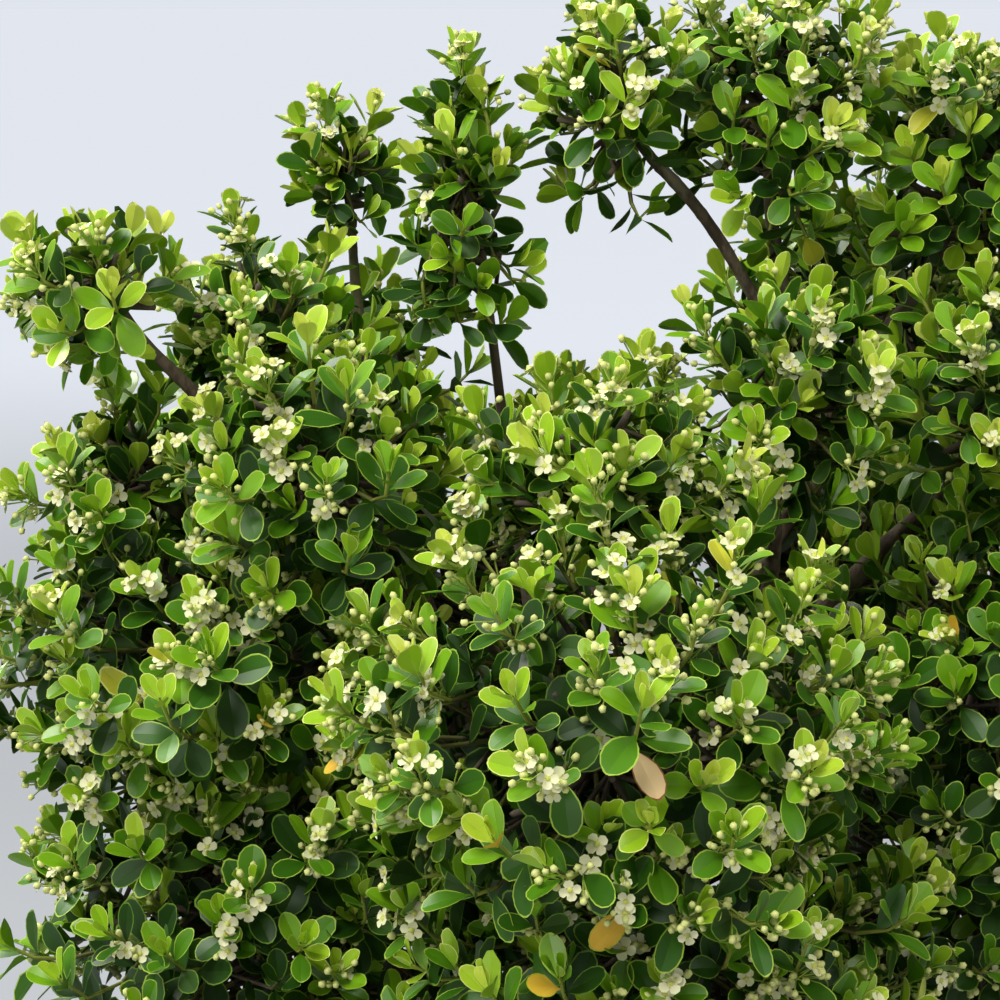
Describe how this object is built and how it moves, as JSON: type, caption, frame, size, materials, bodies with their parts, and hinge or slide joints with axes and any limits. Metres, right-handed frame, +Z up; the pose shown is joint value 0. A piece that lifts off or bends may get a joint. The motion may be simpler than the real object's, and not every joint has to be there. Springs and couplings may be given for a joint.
{
  "type": "potted flowering japanese holly shrub",
  "caption": "Small unclipped evergreen shrub in a plain clay pot: short forked trunk, tapering boughs and leafy masses with pale blossom, for patios and gardens.",
  "frame": {"origin": "the middle of the flat underside of the pot, on the ground", "axes": "+Z up along the pot's axis; -Y the side of the crown that the picture shows; +X to the right of it"},
  "size_m": [0.4529, 0.4376, 0.6528],
  "materials": {
    "clay": "matte",
    "soil": "matte",
    "bark": "matte",
    "foliage": "satin"
  },
  "bodies": {
    "root": {"pot": "clay", "soil": "soil", "trunk": "bark", "bough_skirt_1": "bark", "bough_skirt_2": "bark", "bough_skirt_3": "bark", "bough_skirt_4": "bark", "bough_skirt_5": "bark", "bough_waist_1": "bark", "bough_waist_2": "bark", "bough_waist_3": "bark", "bough_waist_4": "bark", "bough_waist_5": "bark", "bough_left_shoulder": "bark", "bough_front_crest": "bark", "bough_right_crest": "bark", "bough_right_shoulder": "bark", "bough_back_right": "bark", "bough_back_left": "bark", "bough_back_dip": "bark", "bough_left_flank": "bark", "bough_left_crest": "bark", "bough_left_tuft": "bark", "bough_back_sprig": "bark", "bough_spire": "bark", "bough_arch": "bark", "bough_top_right": "bark", "bough_far_right": "bark", "foliage_skirt_1": "foliage", "foliage_skirt_2": "foliage", "foliage_skirt_3": "foliage", "foliage_skirt_4": "foliage", "foliage_skirt_5": "foliage", "foliage_waist_1": "foliage", "foliage_waist_2": "foliage", "foliage_waist_3": "foliage", "foliage_waist_4": "foliage", "foliage_waist_5": "foliage", "foliage_left_shoulder": "foliage", "foliage_front_crest": "foliage", "foliage_right_crest": "foliage", "foliage_right_shoulder": "foliage", "foliage_back_right": "foliage", "foliage_back_left": "foliage", "foliage_back_dip": "foliage", "foliage_left_flank": "foliage", "foliage_left_crest": "foliage", "foliage_left_tuft": "foliage", "foliage_back_sprig": "foliage", "foliage_spire": "foliage", "foliage_arch": "foliage", "foliage_top_right": "foliage", "foliage_far_right": "foliage"}
  },
  "joints": []
}
